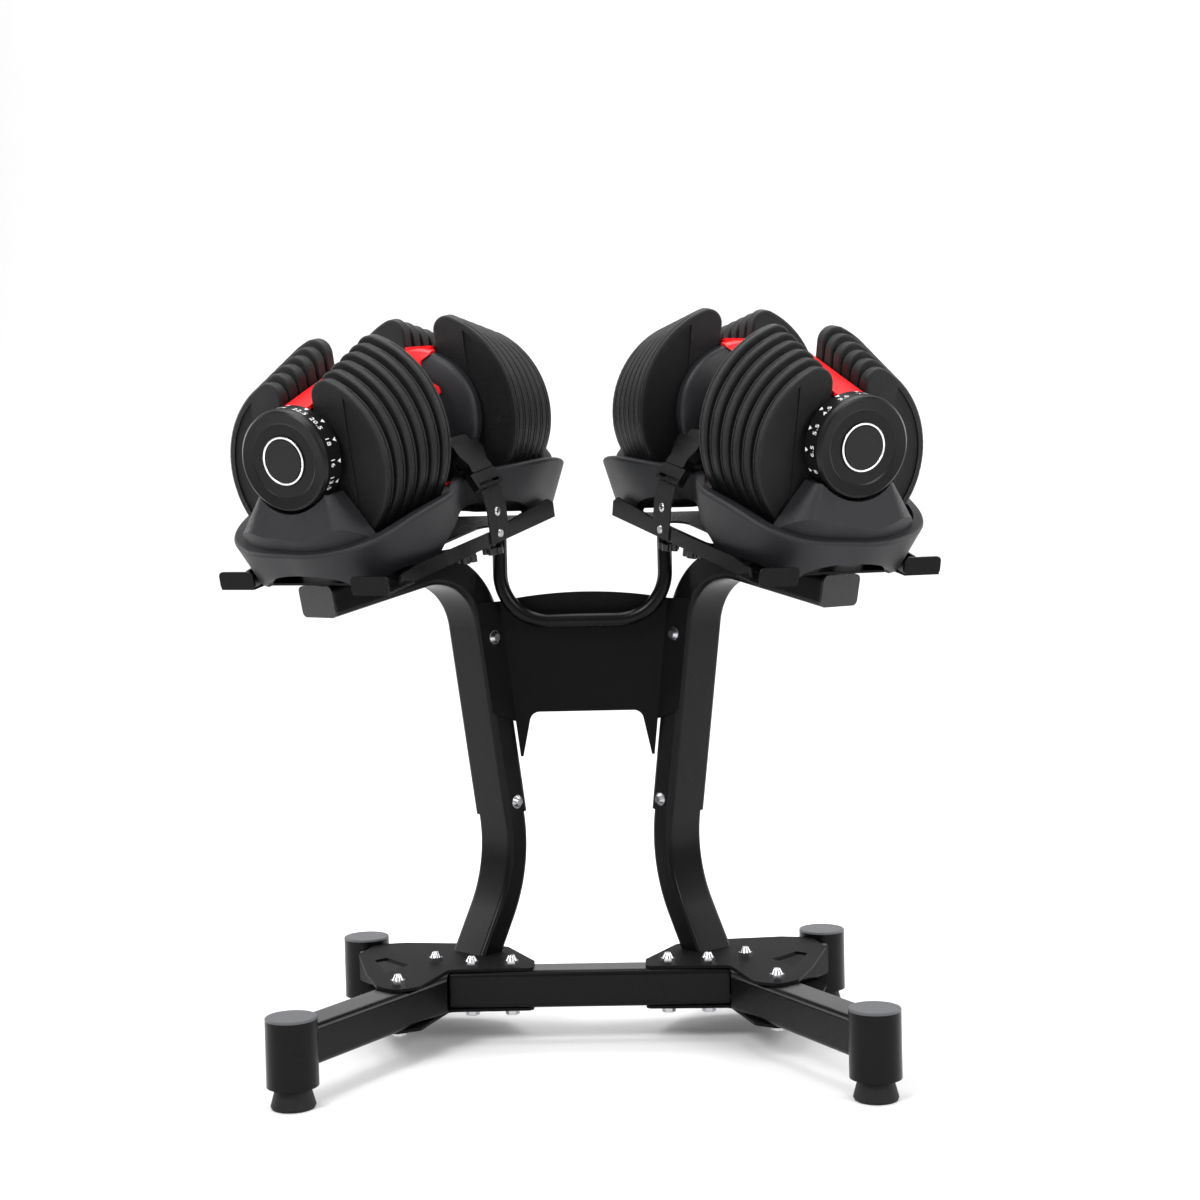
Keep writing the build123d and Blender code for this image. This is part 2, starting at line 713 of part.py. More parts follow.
def arm_point(reach):
    """Point on the arm's centre line, in the column plane, at a reach from the foot."""
    spot = FOOT + OUTWARD * reach
    behind = (spot.X + CRADLE_X) * sin(TOE) + (spot.Y - CRADLE_Y) * cos(TOE)
    level = SHELF_TOP - SHEET - COLUMN_DEEP / 2 - ARM_DROP
    return (reach, BAR_Z + behind * tan(TILT_RAD) + level / cos(TILT_RAD))


def lean_at(z):
    """Column centre, in the column plane, at a height on its straight part."""
    return (LEAN_LOW[0] + LEAN * (z - LEAN_LOW[1]), z)


def elbow():
    """Where the leaning column's centre line meets the arm's."""
    start, end = arm_point(0), arm_point(ARM_END)
    slope = (end[1] - start[1]) / ARM_END
    z = (start[1] + slope * (LEAN_LOW[0] - LEAN * LEAN_LOW[1])) / (1 - slope * LEAN)
    return lean_at(z)


def tube_along(points, radii, wide, deep, corner):
    """Rectangular tube swept along a filleted path in the left column plane."""
    with BuildLine(column_plane()) as path:
        if len(points) > 2:
            FilletPolyline(*points, radius=radii)
        else:
            Line(*points)
    line = path.line
    with BuildPart() as tube:
        with BuildSketch(Plane(origin=line @ 0, x_dir=INBOARD, z_dir=line % 0)):
            RectangleRounded(wide, deep, corner)
            RectangleRounded(wide - 2 * WALL, deep - 2 * WALL, corner - WALL * 0.8, mode=Mode.SUBTRACT)
        sweep(path=line)
    return tube.part


def column_bolt_axis(z):
    """Plane at a column bolt: its normal runs inboard through the column."""
    t, height = lean_at(z)
    centre = FOOT + OUTWARD * t + Vector(0, 0, height)
    return Plane(origin=centre, x_dir=OUTWARD, z_dir=INBOARD)


def make_upright_upper():
    """Upper column and arm: one bent square tube."""
    with BuildPart() as upright:
        add(tube_along([lean_at(SEAM_Z), elbow(), arm_point(ARM_END)], 75, COLUMN_WIDE, COLUMN_DEEP, TUBE_R))
        for z in COLUMN_BOLT_Z:
            with BuildSketch(column_bolt_axis(z)):
                Circle(BOLT_HOLE_R)
            extrude(amount=TUBE, both=True, mode=Mode.SUBTRACT)
    return upright.part


def make_upright_lower():
    """Lower column: a bowed tube from the gusset up into the upper column."""
    slant = KNEE[0] / (KNEE[1] - DECK_Z)
    below = (-40 * slant, DECK_Z - 40)
    inside = 2 * (WALL + SLIDE)
    with BuildPart() as upright:
        add(tube_along([below, KNEE, lean_at(300)], 160, COLUMN_WIDE - inside, COLUMN_DEEP - inside, TUBE_R - 0.8))
        split(bisect_by=Plane.XY.offset(DECK_Z), keep=Keep.TOP)
        with BuildSketch(column_bolt_axis(COLUMN_BOLT_Z[1])):
            Circle(BOLT_HOLE_R)
        extrude(amount=TUBE, both=True, mode=Mode.SUBTRACT)
    return upright.part


def make_arm_cap():
    """Plastic cap in the arm's near end."""
    near, inner = arm_point(ARM_END), arm_point(ARM_END - 12)
    end = FOOT + OUTWARD * near[0] + Vector(0, 0, near[1])
    back = FOOT + OUTWARD * inner[0] + Vector(0, 0, inner[1])
    inside = 2 * (WALL + SLIDE)
    with BuildPart() as cap:
        with BuildSketch(Plane(origin=end, x_dir=INBOARD, z_dir=end - back)):
            RectangleRounded(COLUMN_WIDE, COLUMN_DEEP, TUBE_R)
        extrude(amount=3)
        with BuildSketch(Plane(origin=end, x_dir=INBOARD, z_dir=back - end)):
            RectangleRounded(COLUMN_WIDE - inside, COLUMN_DEEP - inside, 5)
        extrude(amount=12)
    return cap.part


def base_run(start, end):
    """Square base tube between two plan points."""
    direction = Vector(end[0] - start[0], end[1] - start[1], 0)
    with BuildPart() as run:
        centre_z = TUBE_BASE + TUBE / 2
        with BuildSketch(Plane(origin=(*start, centre_z), x_dir=(0, 0, 1), z_dir=direction)):
            RectangleRounded(TUBE, TUBE, TUBE_R)
            RectangleRounded(TUBE - 2 * WALL, TUBE - 2 * WALL, TUBE_R - 1.6, mode=Mode.SUBTRACT)
        extrude(amount=direction.length)
    return run.part


def base_drills(bolts):
    """Rods to cut from a base piece as clearance for its vertical bolts."""
    with BuildPart() as rods:
        with BuildSketch(Plane.XY):
            with Locations(*bolts):
                Circle(BOLT_HOLE_R)
        extrude(amount=150)
    return rods.part


def make_leg(post, bolt, mitre_normal):
    """Base leg from its post to the junction, mitred against its neighbour."""
    reach = Vector(JUNCTION[0] - post[0], JUNCTION[1] - post[1], 0)
    far_point = (JUNCTION[0] + reach.normalized().X * 60, JUNCTION[1] + reach.normalized().Y * 60)
    with BuildPart() as leg:
        add(base_run(post, far_point))
        with BuildSketch(Plane.XY):
            with Locations(post):
                Circle(POST_R)
        extrude(amount=150, mode=Mode.SUBTRACT)
        split(bisect_by=Plane(origin=(-CROSS_HALF - 1, 0, 0), z_dir=(1, 0, 0)), keep=Keep.BOTTOM)
        split(bisect_by=Plane(origin=(*JUNCTION, 0), z_dir=mitre_normal), keep=Keep.TOP)
        add(base_drills([bolt]), mode=Mode.SUBTRACT)
    return leg.part


def make_post(post):
    """Upright tube post at the end of a leg."""
    with BuildPart() as tube:
        with BuildSketch(Plane.XY.offset(POST_BASE)):
            with Locations(post):
                Circle(POST_R)
                Circle(POST_R - WALL, mode=Mode.SUBTRACT)
        extrude(amount=POST_TOP - POST_BASE)
    return tube.part


def make_cap(post):
    """Domed cap pressed into the post's top."""
    with BuildPart() as cap:
        with BuildSketch(Plane.XY.offset(POST_TOP)):
            with Locations(post):
                Circle(POST_R)
        extrude(amount=2.4)
        fillet(cap.edges().group_by(Axis.Z)[-1], 1.4)
        with BuildSketch(Plane.XY.offset(POST_TOP - 10)):
            with Locations(post):
                Circle(POST_R - WALL - 0.1)
        extrude(amount=10)
    return cap.part


def make_foot(post):
    """Rubber foot: a splayed pad on a neck pressed into the post."""
    with BuildPart() as foot:
        with BuildSketch(Plane.XZ.offset(-post[1])):
            with BuildLine():
                x = post[0]
                Polyline(
                    (x, 0), (x + FOOT_R - 1, 0), (x + FOOT_R, 2.5), (x + FOOT_NECK_R, 19),
                    (x + FOOT_NECK_R, POST_BASE), (x + POST_R - WALL - 0.1, POST_BASE),
                    (x + POST_R - WALL - 0.1, POST_BASE + 9), (x, POST_BASE + 9), (x, 0),
                )
            make_face()
        revolve(axis=Axis((post[0], post[1], 0), (0, 0, 1)))
    return foot.part


def make_gusset(level, hole):
    """Gusset plate that ties the cross tube, both legs and the column's foot."""
    outline = [
        (-60, 16), (-60, -17), (-150, -19), (-172, -92), (-196, -106), (-218, -86),
        (-236, -30), (-258, 62), (-246, 112), (-212, 118), (-128, 107), (-94, 88),
    ]
    with BuildPart() as gusset:
        with BuildSketch(Plane.XY.offset(level)) as plan:
            Polygon(*outline, align=None)
            fillet(plan.vertices(), 7)
            if hole:
                with BuildLine():
                    Polyline((-196, 8), (-216, -30), (-236, 32), (-224, 42), (-196, 8))
                make_face(mode=Mode.SUBTRACT)
            with Locations(*[(x, y) for x, y in (FRONT_POST, REAR_POST)]):
                Circle(POST_R + 0.3, mode=Mode.SUBTRACT)
        extrude(amount=GUSSET)
        add(base_drills(BASE_BOLTS), mode=Mode.SUBTRACT)
    return gusset.part


def make_base_bolt(place):
    """Vertical base bolt with its domed nut on top."""
    under = TUBE_BASE - GUSSET
    with BuildPart() as bolt:
        with BuildSketch(Plane.XY.offset(under)):
            with Locations(place):
                Circle(BOLT_R)
        extrude(amount=DECK_Z - under)
        with BuildSketch(Plane.XY.offset(DECK_Z)):
            with Locations(place):
                RegularPolygon(7.6, 6)
        extrude(amount=5)
        with BuildSketch(Plane.XY.offset(DECK_Z + 5)):
            with Locations(place):
                Circle(6.2)
        extrude(amount=5.5, taper=28)
    return bolt.part


def make_base_nut(place):
    """Hexagon nut and washer under the lower gusset."""
    under = TUBE_BASE - GUSSET
    with BuildPart() as nut:
        with BuildSketch(Plane.XY.offset(under)):
            with Locations(place):
                Circle(8.5)
        extrude(amount=-1.4)
        with BuildSketch(Plane.XY.offset(under - 1.4)):
            with Locations(place):
                RegularPolygon(7.4, 6)
        extrude(amount=-6)
        fillet(nut.edges().group_by(Axis.Z)[0], 0.6)
    return nut.part


def make_column_bolt(z):
    """Bolt through a column, with a domed head inboard."""
    half = COLUMN_WIDE / 2 + 0.02
    inner_face = half + (2.0 if z == COLUMN_BOLT_Z[0] else 0)
    axis_plane = column_bolt_axis(z)
    with BuildPart() as bolt:
        with BuildSketch(axis_plane.offset(-half)):
            Circle(BOLT_R)
        extrude(amount=half + inner_face)
        with BuildSketch(axis_plane.offset(inner_face)):
            Circle(7.6)
        extrude(amount=1.4)
        with BuildSketch(axis_plane.offset(inner_face + 1.4)):
            Circle(6.6)
        extrude(amount=4.4, taper=30)
    return bolt.part


def make_column_nut(z):
    """Hexagon cap nut on the outboard end of a column bolt."""
    half = COLUMN_WIDE / 2 + 0.02
    axis_plane = column_bolt_axis(z)
    with BuildPart() as nut:
        with BuildSketch(axis_plane.offset(-half)):
            Circle(8.2)
        extrude(amount=-1.2)
        with BuildSketch(axis_plane.offset(-half - 1.2)):
            RegularPolygon(7.4, 6)
        extrude(amount=-4.5)
        with BuildSketch(axis_plane.offset(-half - 5.7)):
            Circle(5.6)
        extrude(amount=-3.5, taper=30)
    return nut.part


def make_back_panel():
    """Sheet panel between the columns: a domed top, a cut-out below and side flanges."""
    sheet = 2.0
    top_z, side_z, cut_z, leg_z = 479.0, 470.0, 346.0, 296.0
    rear = -COLUMN_DEEP / 2 - 0.4

    def rear_edge(z):
        """World point on the panel's left fold, behind the column."""
        t = lean_at(z)[0]
        return FOOT + INBOARD * (COLUMN_WIDE / 2) + OUTWARD * (t + rear) + Vector(0, 0, z)

    low, high = rear_edge(leg_z), rear_edge(side_z)
    up = Vector(0, high.Y - low.Y, high.Z - low.Z)
    fold = Plane(origin=(0, low.Y, low.Z), x_dir=(1, 0, 0), z_dir=Vector(1, 0, 0).cross(up))

    def along(z):
        """Distance up the panel at a height."""
        return (z - low.Z) * up.length / (high.Z - low.Z)

    with BuildPart() as panel:
        with BuildSketch(fold) as face:
            with BuildLine():
                ThreePointArc((high.X, along(side_z)), (0, along(top_z)), (-high.X, along(side_z)))
                Polyline(
                    (-high.X, along(side_z)), (-low.X, along(leg_z)), (-low.X - 3, along(leg_z)),
                    (61, along(cut_z)), (-61, along(cut_z)), (low.X + 3, along(leg_z)),
                    (low.X, along(leg_z)), (high.X, along(side_z)),
                )
            make_face()
            fillet(face.vertices().filter_by_position(Axis.X, -62, 62), 11)
        extrude(amount=sheet)
        # side flanges on the columns' inboard faces
        inboard_face = column_plane(COLUMN_WIDE / 2 + 0.02)
        bottom_t, top_t = lean_at(cut_z + 2)[0], lean_at(side_z)[0]
        with BuildPart(mode=Mode.PRIVATE) as flange:
            with BuildSketch(inboard_face) as strip:
                Polygon(
                    (top_t + rear + 0.2, side_z), (top_t + 18, side_z),
                    (bottom_t + 18, cut_z + 2), (bottom_t + rear + 0.2, cut_z - 10),
                    align=None,
                )
            extrude(amount=-sheet)
            with BuildSketch(column_bolt_axis(COLUMN_BOLT_Z[0])):
                Circle(BOLT_HOLE_R)
            extrude(amount=TUBE, both=True, mode=Mode.SUBTRACT)
        add(flange.part)
        mirror(flange.part, about=Plane.YZ)
    return panel.part


def make_rail():
    """U-shaped round rail under the shelves, in front of the panel."""
    radius, side_x, low_z, y = 8.0, 90.0, 448.0, 56.0
    with BuildPart() as rail:
        with BuildLine(Plane.XZ.offset(-y)) as path:
            FilletPolyline((-side_x, 600), (-side_x, low_z), (side_x, low_z), (side_x, 600), radius=52)
        with BuildSketch(Plane(origin=path.line @ 0, z_dir=path.line % 0)):
            Circle(radius)
            Circle(radius - 1.5, mode=Mode.SUBTRACT)
        sweep(path=path.line)
        for side in SIDES.values():
            with Locations(cradle(side)):
                with Locations((0, 0, SHELF_TOP - SHEET + 100)):
                    Box(240, 500, 200, mode=Mode.SUBTRACT)
    return rail.part


# =====================================================================================
# Build and write every node
# =====================================================================================
def build_stand():
    with BuildPart() as cross:
        add(base_run((-CROSS_HALF, 0), (CROSS_HALF, 0)))
        add(base_drills([(side * x, y) for side in SIDES.values() for x, y in BASE_BOLTS[:2]]), mode=Mode.SUBTRACT)
    write("cross_tube", cross.part)

    front = Vector(FRONT_POST[0] - JUNCTION[0], FRONT_POST[1] - JUNCTION[1], 0).normalized()
    back = Vector(REAR_POST[0] - JUNCTION[0], REAR_POST[1] - JUNCTION[1], 0).normalized()
    across = (back - front).normalized()
    write("front_legs", both_sides(make_leg(FRONT_POST, BASE_BOLTS[3], across * -1)))
    write("rear_legs", both_sides(make_leg(REAR_POST, BASE_BOLTS[2], across)))

    for name, maker in (("leg_posts", make_post), ("post_caps", make_cap), ("rubber_feet", make_foot)):
        with BuildPart() as pair:
            add(maker(FRONT_POST))
            add(maker(REAR_POST))
        write(name, both_sides(pair.part))

    write("upper_gussets", both_sides(make_gusset(TUBE_TOP, hole=True)))
    write("lower_gussets", both_sides(make_gusset(TUBE_BASE - GUSSET, hole=False)))
    write("uprights_lower", both_sides(make_upright_lower()))
    write("uprights_upper", both_sides(make_upright_upper()))
    write("arm_end_caps", both_sides(make_arm_cap()))
    write("back_panel", make_back_panel())
    write("u_rail", make_rail())

    with BuildPart() as bolts:
        for place in BASE_BOLTS:
            add(make_base_bolt(place))
        for z in COLUMN_BOLT_Z:
            add(make_column_bolt(z))
    write("domed_bolts", both_sides(bolts.part))
    with BuildPart() as nuts:
        for place in BASE_BOLTS:
            add(make_base_nut(place))
        for z in COLUMN_BOLT_Z:
            add(make_column_nut(z))
    write("hex_nuts", both_sides(nuts.part))


def build_cradles():
    tray, rivets = make_tray(), make_rivets()
    sockets, plugs, knobs = [], [], []
    for name, side in SIDES.items():
        inner = -side
        write(f"{name}_tray", in_cradle(tray, side))
        write(f"{name}_shelf", in_cradle(make_shelf(inner), side))
        write(f"{name}_strap", in_cradle(make_strap(inner), side))
        sockets.append(in_cradle(make_buckle_socket(inner), side))
        plugs.append(in_cradle(make_buckle_plug(inner), side))
        knobs.append(in_cradle(make_shelf_knobs(inner), side))
    write("buckle_sockets", Part() + sockets)
    write("buckle_plugs", Part() + plugs)
    write("shelf_knobs", Part() + knobs)
    write("strap_rivets", both_cradles(rivets))
    write("tray_badges", both_cradles(make_tray_badges()))


def build_dumbbells():
    plates = [both_ends(make_plate(index)) for index in range(PLATE_COUNT)]
    pairs = {
        "grip": make_grip(), "shaft": make_shaft(), "end_housings": both_ends(make_housing()),
        "bridges": both_ends(make_bridge()), "lock_plungers": both_ends(make_plunger()),
    }
    turning = {"selector_discs": make_discs(), "dial": make_dial(), "badge": make_badge()}
    for name, side in SIDES.items():
        for piece, part in pairs.items():
            write(f"{name}_{piece}", in_cradle(part, side))
        for index, part in enumerate(plates):
            write(f"{name}_plates_{index + 1}", in_cradle(part, side))
        for piece, part in turning.items():
            write(f"{name}_far_{piece}", in_cradle(part, side))
            with BuildPart() as near:
                mirror(part, about=Plane.XZ)
            write(f"{name}_near_{piece}", in_cradle(near.part, side))


os.makedirs("parts", exist_ok=True)
build_stand()
build_cradles()
build_dumbbells()
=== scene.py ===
"""Looks for a pair of dial dumbbells on their stand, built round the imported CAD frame.

The frame's nodes are shown with procedural materials.  The numbers on the dials, the rings
round their badges and two strap rivets are small pieces made here.
"""
import math

import bpy
from mathutils import Matrix, Vector


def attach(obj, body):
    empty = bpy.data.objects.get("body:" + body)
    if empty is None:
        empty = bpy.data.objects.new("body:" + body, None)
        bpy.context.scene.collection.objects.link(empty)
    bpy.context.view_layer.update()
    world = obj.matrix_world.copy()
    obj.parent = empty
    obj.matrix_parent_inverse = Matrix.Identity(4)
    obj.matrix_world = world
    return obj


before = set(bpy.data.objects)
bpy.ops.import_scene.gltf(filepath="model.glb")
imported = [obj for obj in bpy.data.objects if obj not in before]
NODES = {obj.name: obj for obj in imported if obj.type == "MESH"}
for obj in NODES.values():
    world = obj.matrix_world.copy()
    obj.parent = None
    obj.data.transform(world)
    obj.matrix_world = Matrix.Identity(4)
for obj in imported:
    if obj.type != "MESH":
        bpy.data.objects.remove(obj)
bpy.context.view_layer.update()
MM = 0.001
SIDES = {"left": -1, "right": 1}

# ---- dimensions in millimetres, as in the CAD ---------------------------------------
MIDDLE_Y = 10.53                # middle of the drawn set, front to back
CRADLE_PLACE = (197, 37 - MIDDLE_Y, 666)
TOE_OUT, TILT = 27, 12          # degrees
DIAL_INNER, DIAL_FACE, DIAL_R = 175.4, 205.4, 52.0
BAND_MIDDLE = DIAL_INNER + 15.5
PRINT_HEIGHT = 0.12             # print stands this far off the dial
SETTINGS = [
    "2.5", "3.5", "4.5", "5.5", "6.5", "8", "9", "10", "11.5", "13.5",
    "16", "18", "20.5", "22.5", "24",
]
SETTING_ON_TOP = {"left": 14, "right": 0}
SETTING_STEP = 24               # degrees between two settings
NUMBER_SIZE, NUMBER_DROP = 8.8, 1.6
TICK_HALF, TICK_BASE, TICK_TIP = 2.3, 11.2, 6.0
RING_INNER, RING_OUTER, RING_LEVEL = 22.6, 24.6, DIAL_FACE - 0.75
RIVET_REACH, RIVET_Y, RIVET_Z = 107.6, 8, -101


def cradle(side):
    """Matrix from a cradle frame in millimetres to the row frame in metres."""
    across, along, height = CRADLE_PLACE
    place = Matrix.Translation(Vector((side * across, along, height)) * MM)
    turn = Matrix.Rotation(math.radians(TOE_OUT * side), 4, "Z")
    tilt = Matrix.Rotation(math.radians(TILT), 4, "X")
    return place @ turn @ tilt @ Matrix.Scale(MM, 4)


# ---- materials ----------------------------------------------------------------------
def material(name, color, rough, metal=0.0, grain=0.0, scale=900.0, mottle=0.0, weave=False, spec=0.5):
    """A plain shader with fine grain or weave in its bump and, if asked, uneven gloss."""
    mat = bpy.data.materials.new(name)
    mat.use_nodes = True
    tree = mat.node_tree
    shader = tree.nodes["Principled BSDF"]
    shader.inputs["Base Color"].default_value = (*color, 1)
    shader.inputs["Roughness"].default_value = rough
    shader.inputs["Metallic"].default_value = metal
    shader.inputs["Specular IOR Level"].default_value = spec
    coords = tree.nodes.new("ShaderNodeTexCoord")
    if grain:
        pattern = tree.nodes.new("ShaderNodeTexWave" if weave else "ShaderNodeTexNoise")
        pattern.inputs["Scale"].default_value = scale
        if weave:
            pattern.inputs["Distortion"].default_value = 1.5
        else:
            pattern.inputs["Detail"].default_value = 3
        bump = tree.nodes.new("ShaderNodeBump")
        bump.inputs["Strength"].default_value = grain
        bump.inputs["Distance"].default_value = 0.0006
        tree.links.new(coords.outputs["Object"], pattern.inputs["Vector"])
        tree.links.new(pattern.outputs["Fac"], bump.inputs["Height"])
        tree.links.new(bump.outputs["Normal"], shader.inputs["Normal"])
    if mottle:
        cloud = tree.nodes.new("ShaderNodeTexNoise")
        cloud.inputs["Scale"].default_value = 14
        spread = tree.nodes.new("ShaderNodeMapRange")
        spread.inputs["To Min"].default_value = rough - mottle
        spread.inputs["To Max"].default_value = rough + mottle
        tree.links.new(coords.outputs["Object"], cloud.inputs["Vector"])
        tree.links.new(cloud.outputs["Fac"], spread.inputs["Value"])
        tree.links.new(spread.outputs["Result"], shader.inputs["Roughness"])
    return mat


MATS = {
    "steel": material(
        "black_satin_paint", (0.0022, 0.0022, 0.0026), 0.27,
        grain=0.08, scale=500, mottle=0.04, spec=0.14,
    ),
    "matte": material(
        "matte_black_paint", (0.0022, 0.0022, 0.0026), 0.62, grain=0.08, scale=500, spec=0.10
    ),
    "zinc": material("bright_zinc", (0.50, 0.50, 0.52), 0.20, metal=1.0, grain=0.05, scale=300),
    "rubber": material(
        "foot_rubber", (0.007, 0.007, 0.008), 0.60, grain=0.35, scale=900, spec=0.25
    ),
    "grey": material("grey_cap", (0.085, 0.087, 0.094), 0.45, grain=0.2, scale=900, spec=0.3),
    "plastic": material(
        "black_plastic", (0.0035, 0.0035, 0.004), 0.28,
        grain=0.12, scale=1200, mottle=0.04, spec=0.4,
    ),
    "webbing": material(
        "webbing", (0.006, 0.006, 0.0065), 0.70, grain=0.8, scale=260, weave=True, spec=0.3
    ),
    "tray": material(
        "tray_plastic", (0.0125, 0.0125, 0.0145), 0.46,
        grain=0.6, scale=1400, mottle=0.04, spec=0.28,
    ),
    "red": material("red_plastic", (0.80, 0.010, 0.014), 0.36, grain=0.08, scale=900, spec=0.4),
    "plate": material(
        "plate_skin", (0.0058, 0.0058, 0.0066), 0.40,
        grain=1.0, scale=1300, mottle=0.05, spec=0.25,
    ),
    "grip": material("grip_rubber", (0.006, 0.006, 0.007), 0.62, grain=0.4, scale=800, spec=0.25),
    "bar": material("bar_steel", (0.50, 0.50, 0.52), 0.28, metal=1.0, grain=0.05, scale=300),
    "housing": material(
        "housing_plastic", (0.012, 0.0125, 0.0145), 0.40,
        grain=0.45, scale=1300, mottle=0.05, spec=0.35,
    ),
    "dial": material(
        "dial_plastic", (0.0055, 0.0055, 0.006), 0.32, grain=0.12, scale=1300, spec=0.22
    ),
    "badge": material(
        "badge_face", (0.006, 0.006, 0.0065), 0.42, grain=0.25, scale=1300, spec=0.3
    ),
    "white": material("white_print", (0.90, 0.90, 0.90), 0.4),
    "silver": material("silver_ring", (0.92, 0.92, 0.93), 0.20, metal=0.6),
}
# The first word found in a node's name picks its material; the rest is painted steel.
RULES = [
    ("selector_discs", "plastic"), ("plates_", "plate"), ("grip", "grip"), ("shaft", "bar"),
    ("plungers", "bar"), ("housings", "housing"), ("bridges", "red"), ("dial", "dial"),
    ("tray_badges", "red"), ("badge", "badge"), ("tray", "tray"), ("strap_rivets", "zinc"),
    ("strap", "webbing"), ("buckle", "plastic"), ("knobs", "plastic"), ("domed_bolts", "zinc"),
    ("hex_nuts", "zinc"), ("rubber_feet", "rubber"), ("post_caps", "grey"),
    ("arm_end_caps", "plastic"), ("gussets", "matte"), ("back_panel", "matte"),
]
for name, node in NODES.items():
    key = next((mat for word, mat in RULES if word in name), "steel")
    node.data.materials.clear()
    node.data.materials.append(MATS[key])


# ---- small pieces made here ---------------------------------------------------------
def mesh_object(name, verts, faces, mat, body, smooth=False):
    """A mesh in the row frame that rides on a CAD body."""
    data = bpy.data.meshes.new(name)
    data.from_pydata([tuple(v) for v in verts], [], faces)
    data.update()
    obj = bpy.data.objects.new(name, data)
    bpy.context.scene.collection.objects.link(obj)
    data.materials.append(MATS[mat])
    for poly in data.polygons:
        poly.use_smooth = smooth
    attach(obj, body)


def text_outline(words, size):
    """Vertices and faces of flat lettering centred on the origin, in millimetres."""
    curve = bpy.data.curves.new("lettering", "FONT")
    curve.body = words
    curve.size = size
    curve.offset = 0.05
    curve.space_character = 1.12
    curve.align_x = "CENTER"
    curve.align_y = "CENTER"
    curve.resolution_u = 3
    obj = bpy.data.objects.new("lettering", curve)
    bpy.context.scene.collection.objects.link(obj)
    data = bpy.data.meshes.new_from_object(obj)
    verts = [tuple(v.co) for v in data.vertices]
    faces = [tuple(f.vertices) for f in data.polygons]
    bpy.data.objects.remove(obj)
    return verts, faces


def dial_print(side_name, end_name):
    """Numbers and ticks round a dial's band, printed on the curved surface."""
    flip = 1 if end_name == "near" else -1
    to_row = cradle(SIDES[side_name])
    verts, faces = [], []

    def wrap(around, back, setting_angle):
        """A point on the band: around it, and back towards the plates from its middle."""
        angle = math.radians(setting_angle) + around / DIAL_R
        radius = DIAL_R + PRINT_HEIGHT
        x, z = flip * radius * math.sin(angle), radius * math.cos(angle)
        return to_row @ Vector((x, flip * (back - BAND_MIDDLE), z))

    for index, words in enumerate(SETTINGS):
        theta = (SETTING_ON_TOP[side_name] - index) * SETTING_STEP
        outline, polys = text_outline(words, NUMBER_SIZE)
        base = len(verts)
        verts += [wrap(x, y - NUMBER_DROP, theta) for x, y, z in outline]
        faces += [tuple(base + i for i in f) for f in polys]
        base = len(verts)
        for around, back in ((-TICK_HALF, TICK_BASE), (TICK_HALF, TICK_BASE), (0, TICK_TIP)):
            verts.append(wrap(around, back, theta))
        faces.append((base, base + 1, base + 2))
    name = f"{side_name}_{end_name}"
    mesh_object(f"{name}_numbers", verts, faces, "white", f"{name}_dial")


def ring(side_name, end_name):
    """A flat raised ring round the badge on a dial's face."""
    to_row = cradle(SIDES[side_name])
    sign = -1 if end_name == "near" else 1
    steps, edge, depth = 96, 0.25, 0.6
    loops = (
        (RING_INNER, RING_LEVEL - depth), (RING_INNER + edge, RING_LEVEL),
        (RING_OUTER - edge, RING_LEVEL), (RING_OUTER, RING_LEVEL - depth),
    )
    verts, faces = [], []
    for radius, y in loops:
        for i in range(steps):
            a = 2 * math.pi * i / steps
            verts.append(to_row @ Vector((radius * math.cos(a), sign * y, radius * math.sin(a))))
    for row in range(len(loops) - 1):
        here, there = row * steps, (row + 1) * steps
        for i in range(steps):
            j = (i + 1) % steps
            quad = (here + i, here + j, there + j, there + i)
            faces.append(quad if sign < 0 else quad[::-1])
    name = f"{side_name}_{end_name}"
    mesh_object(f"{name}_ring", verts, faces, "silver", f"{name}_dial", smooth=True)


def dome(name, centre, axis, radius, height, mat, body):
    """A low domed head."""
    side = axis.orthogonal().normalized()
    other = axis.cross(side)
    rings, steps = 6, 28
    verts, faces = [], []
    for r in range(rings):
        t = r / rings * math.pi / 2
        for i in range(steps):
            a = 2 * math.pi * i / steps
            outward = side * math.cos(a) + other * math.sin(a)
            verts.append(centre + outward * radius * math.cos(t) + axis * height * math.sin(t))
    verts.append(centre + axis * height)
    for r in range(rings - 1):
        here, there = r * steps, (r + 1) * steps
        for i in range(steps):
            j = (i + 1) % steps
            faces.append((here + i, here + j, there + j, there + i))
    last = (rings - 1) * steps
    for i in range(steps):
        faces.append((last + i, last + (i + 1) % steps, len(verts) - 1))
    mesh_object(name, verts, faces, mat, body, smooth=True)


for side_name, side in SIDES.items():
    for end_name in ("near", "far"):
        dial_print(side_name, end_name)
        ring(side_name, end_name)
for side_name, side in SIDES.items():
    to_row = cradle(side)
    centre = to_row @ Vector((-side * RIVET_REACH, RIVET_Y, RIVET_Z))
    axis = (to_row.to_3x3() @ Vector((-side, 0, 0))).normalized()
    dome(f"{side_name}_strap_rivet", centre, axis, 5.0 * MM, 2.2 * MM, "zinc", "stand")

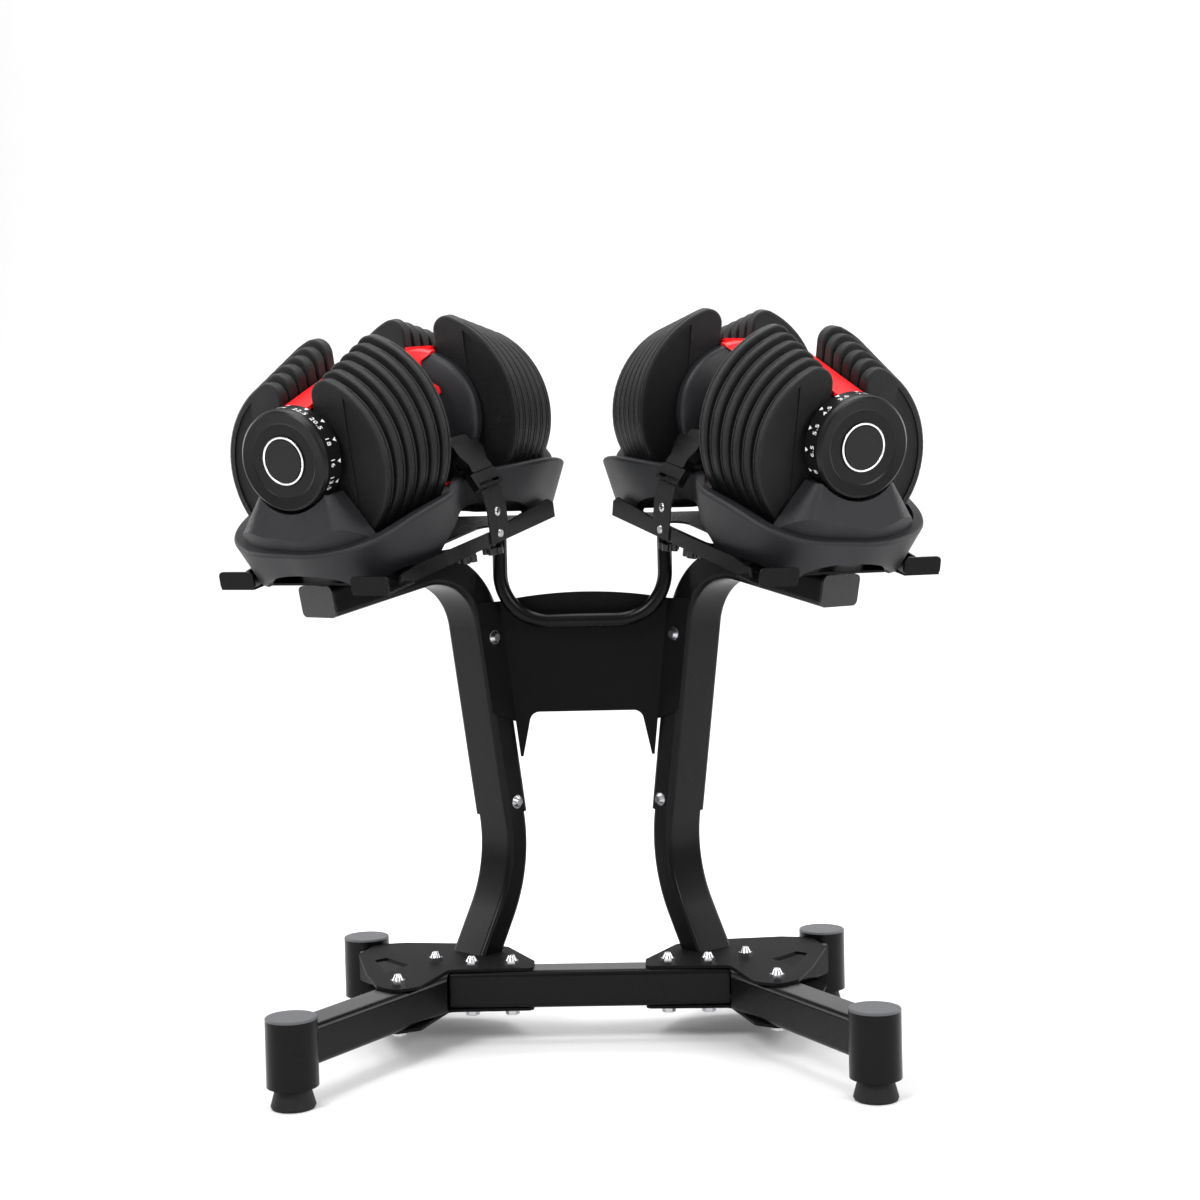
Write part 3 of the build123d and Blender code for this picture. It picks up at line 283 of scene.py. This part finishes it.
# ---- floor that sweeps up behind the part, metres -----------------------------------
FLOOR_FRONT, SWEEP_START, SWEEP_RADIUS, SWEEP_TOP, HALF_WIDTH = -9.0, 2.6, 2.4, 7.0, 9.0
SWEEP_STEPS, FLOOR_DROP = 16, 0.0005
profile = [(FLOOR_FRONT, 0.0), (SWEEP_START, 0.0)]
for step in range(1, SWEEP_STEPS + 1):
    angle = math.pi / 2 * step / SWEEP_STEPS
    rise = SWEEP_RADIUS * (1 - math.cos(angle))
    profile.append((SWEEP_START + SWEEP_RADIUS * math.sin(angle), rise))
profile.append((SWEEP_START + SWEEP_RADIUS, SWEEP_TOP))
sweep_verts = [(x, y, z - FLOOR_DROP) for y, z in profile for x in (-HALF_WIDTH, HALF_WIDTH)]
sweep_faces = [(2 * i, 2 * i + 1, 2 * i + 3, 2 * i + 2) for i in range(len(profile) - 1)]
floor = bpy.data.meshes.new("floor")
floor.from_pydata(sweep_verts, [], sweep_faces)
floor_obj = bpy.data.objects.new("floor", floor)
bpy.context.scene.collection.objects.link(floor_obj)
floor.materials.append(material("floor", (0.90, 0.90, 0.90), 0.9, spec=0.0))
for poly in floor.polygons:
    poly.use_smooth = True

# ---- camera: focal length for a frame 1200 wide, angles in degrees, place in mm -----
FOCAL, FRAME_WIDTH, SENSOR = 1987.0, 1200, 36
YAW, PITCH, ROLL = -1.68, 2.68, -1.32
CAMERA_PLACE = (82.0, -2111.0 - MIDDLE_Y, 571.0)
yaw, pitch, roll = math.radians(YAW), math.radians(PITCH), math.radians(ROLL)
forward = Vector((math.sin(yaw) * math.cos(pitch), math.cos(yaw) * math.cos(pitch), -math.sin(pitch)))
right = Vector((math.cos(yaw), -math.sin(yaw), 0))
up = right.cross(forward)
camera_x = right * math.cos(roll) + up * math.sin(roll)
camera_y = up * math.cos(roll) - right * math.sin(roll)
camera_data = bpy.data.cameras.new("camera")
camera_data.sensor_width = SENSOR
camera_data.lens = SENSOR * FOCAL / FRAME_WIDTH
camera_data.clip_start, camera_data.clip_end = 0.05, 100
camera = bpy.data.objects.new("camera", camera_data)
bpy.context.scene.collection.objects.link(camera)
rotation = Matrix((camera_x, camera_y, -forward)).transposed().to_4x4()
camera.matrix_world = Matrix.Translation(Vector(CAMERA_PLACE) * MM) @ rotation
bpy.context.scene.camera = camera


# ---- lights -------------------------------------------------------------------------
def area(name, place, target, size, power, size_y=None):
    """A rectangular soft light aimed at a point."""
    data = bpy.data.lights.new(name, "AREA")
    data.shape = "RECTANGLE"
    data.size = size
    data.size_y = size_y or size
    data.energy = power
    obj = bpy.data.objects.new(name, data)
    bpy.context.scene.collection.objects.link(obj)
    obj.location = place
    obj.rotation_mode = "QUATERNION"
    obj.rotation_quaternion = (Vector(target) - Vector(place)).to_track_quat("-Z", "Y")


MIDDLE, TRAYS = (0, 0, 0.5), (0, 0, 0.6)
area("key", (-1.3, -2.0, 2.3), MIDDLE, 1.0, 52)
area("fill", (1.7, -1.9, 1.6), MIDDLE, 1.0, 28)
area("top", (0, 0.2, 2.4), TRAYS, 1.5, 30)
area("rim_left", (-2.0, 0.7, 1.1), TRAYS, 0.6, 22, 1.6)
area("rim_right", (2.0, 0.7, 1.1), TRAYS, 0.6, 22, 1.6)
area("backdrop", (0, 1.6, 3.2), (0, 4.6, 0.8), 3.0, 90)

world = bpy.data.worlds.new("world")
bpy.context.scene.world = world
world.use_nodes = True
world.node_tree.nodes["Background"].inputs["Color"].default_value = (1, 1, 1, 1)
world.node_tree.nodes["Background"].inputs["Strength"].default_value = 0.50
scene = bpy.context.scene
scene.view_settings.view_transform = "Standard"
scene.view_settings.look = "None"
scene.view_settings.exposure = 0.0
